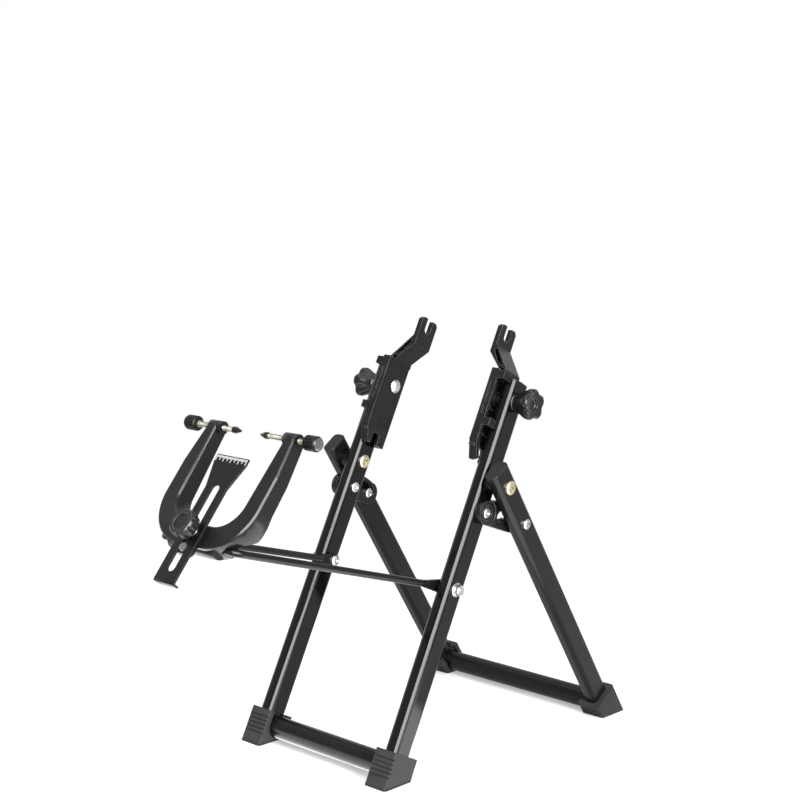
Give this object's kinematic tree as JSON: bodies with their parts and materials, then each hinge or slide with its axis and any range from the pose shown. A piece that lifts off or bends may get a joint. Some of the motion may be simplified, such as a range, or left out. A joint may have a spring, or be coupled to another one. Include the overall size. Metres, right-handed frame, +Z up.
{
  "type": "bicycle wheel truing stand",
  "caption": "Folding bench stand for truing a bicycle wheel: leaning square-tube uprights with hub holders, folding rear legs and a swinging caliper with gauge screws.",
  "frame": {"origin": "centre of the stand's outline on the bench", "axes": "+X to the right side, -Y towards the caliper, +Z up"},
  "size_m": [0.244, 0.5568, 0.4252],
  "materials": {
    "gloss_black": "gloss paint",
    "satin_black": "satin paint",
    "cast_black": "satin black paint on a casting",
    "black_plastic": "satin moulding",
    "grip_plastic": "fine matte moulding",
    "zinc": "bright zinc",
    "yellow_zinc": "yellow zinc",
    "bright_steel": "turned",
    "foot_rubber": "matte"
  },
  "bodies": {
    "stand": {"right_upright": "gloss_black", "left_upright": "gloss_black", "upright_plugs": "black_plastic", "front_crossbar": "satin_black", "right_front_foot": "foot_rubber", "left_front_foot": "foot_rubber", "right_hub_holder": "black_plastic", "left_hub_holder": "black_plastic", "holder_bolts": "zinc", "holder_washers": "zinc", "pivot_sleeves": "yellow_zinc", "pivot_bolts": "yellow_zinc", "pivot_spacers": "yellow_zinc", "link_sleeves": "zinc", "link_bolts": "zinc", "arm_pivot_bolts": "zinc", "arm_pivot_nuts": "zinc", "arm_pivot_washers": "zinc", "friction_washers": "black_plastic"},
    "rear_frame": {"right_rear_leg": "satin_black", "left_rear_leg": "satin_black", "leg_plugs": "black_plastic", "rear_crossbar": "satin_black", "right_rear_foot": "foot_rubber", "left_rear_foot": "foot_rubber", "slot_sleeves": "zinc", "slot_bolts": "zinc"},
    "right_link": {"right_link": "black_plastic"},
    "left_link": {"left_link": "black_plastic"},
    "right_clamp_knob": {"right_holder_knob": "grip_plastic"},
    "left_clamp_knob": {"left_holder_knob": "grip_plastic"},
    "caliper_arm": {"caliper_arm": "satin_black"},
    "caliper": {"caliper_body": "cast_black", "plate_guide_pin": "bright_steel"},
    "right_gauge": {"right_gauge_screw": "bright_steel", "right_gauge_tip": "grip_plastic"},
    "right_gauge_grip": {"right_gauge_knob": "grip_plastic"},
    "left_gauge": {"left_gauge_screw": "bright_steel", "left_gauge_tip": "grip_plastic"},
    "left_gauge_grip": {"left_gauge_knob": "grip_plastic"},
    "gauge_plate": {"gauge_plate": "satin_black"},
    "plate_clamp": {"plate_knob": "grip_plastic", "plate_stud": "zinc", "plate_washer": "zinc"}
  },
  "joints": [
    {"name": "rear_fold", "type": "hinge", "parent": "stand", "child": "rear_frame", "pos_m": [0, 0.05849, 0.2729], "axis": [1, 0, 0], "range_deg": [-56.5, 0]},
    {"name": "right_link_swing", "type": "hinge", "parent": "stand", "child": "right_link", "pos_m": [0, 0.046, 0.24673], "axis": [1, 0, 0], "range_deg": [-85.2, 0]},
    {"name": "left_link_swing", "type": "hinge", "parent": "stand", "child": "left_link", "pos_m": [0, 0.046, 0.24673], "axis": [1, 0, 0], "range_deg": [-85.2, 0]},
    {"name": "right_clamp_turn", "type": "hinge", "parent": "stand", "child": "right_clamp_knob", "pos_m": [0, 0.09564, 0.3508], "axis": [1, 0, 0], "range_deg": [0, 720]},
    {"name": "left_clamp_turn", "type": "hinge", "parent": "stand", "child": "left_clamp_knob", "pos_m": [0, 0.09564, 0.3508], "axis": [-1, 0, 0], "range_deg": [0, 720]},
    {"name": "caliper_swing", "type": "hinge", "parent": "stand", "child": "caliper_arm", "pos_m": [0, 0.01156, 0.17452], "axis": [-1, 0, 0], "range_deg": [-30, 50]},
    {"name": "caliper_tilt", "type": "hinge", "parent": "caliper_arm", "child": "caliper", "pos_m": [0, -0.23933, 0.24081], "axis": [1, 0, 0], "range_deg": [-25, 60]},
    {"name": "right_gauge_feed", "type": "slide", "parent": "caliper", "child": "right_gauge", "axis": [1, 0, 0], "range_m": [-0.0059, 0.0225]},
    {"name": "right_gauge_turn", "type": "hinge", "parent": "right_gauge", "child": "right_gauge_grip", "pos_m": [0, -0.17359, 0.33324], "axis": [1, 0, 0], "range_deg": [-2656, 10126]},
    {"name": "left_gauge_feed", "type": "slide", "parent": "caliper", "child": "left_gauge", "axis": [-1, 0, 0], "range_m": [-0.0149, 0.0135]},
    {"name": "left_gauge_turn", "type": "hinge", "parent": "left_gauge", "child": "left_gauge_grip", "pos_m": [0, -0.17359, 0.33324], "axis": [-1, 0, 0], "range_deg": [-6706, 6076]},
    {"name": "plate_slide", "type": "slide", "parent": "caliper", "child": "gauge_plate", "axis": [0, 0.617, 0.7869], "range_m": [-0.0442, 0.0201]},
    {"name": "plate_knob_turn", "type": "hinge", "parent": "caliper", "child": "plate_clamp", "pos_m": [0, -0.23563, 0.24553], "axis": [0, -0.7869, 0.617], "range_deg": [0, 720]}
  ],
  "couplings": [
    {"joint": "right_link_swing", "follows": "rear_fold", "ratio": 1.5055},
    {"joint": "left_link_swing", "follows": "rear_fold", "ratio": 1.5055},
    {"joint": "right_gauge_turn", "follows": "right_gauge_feed", "rad_per_m": 7854},
    {"joint": "left_gauge_turn", "follows": "left_gauge_feed", "rad_per_m": 7854}
  ]
}
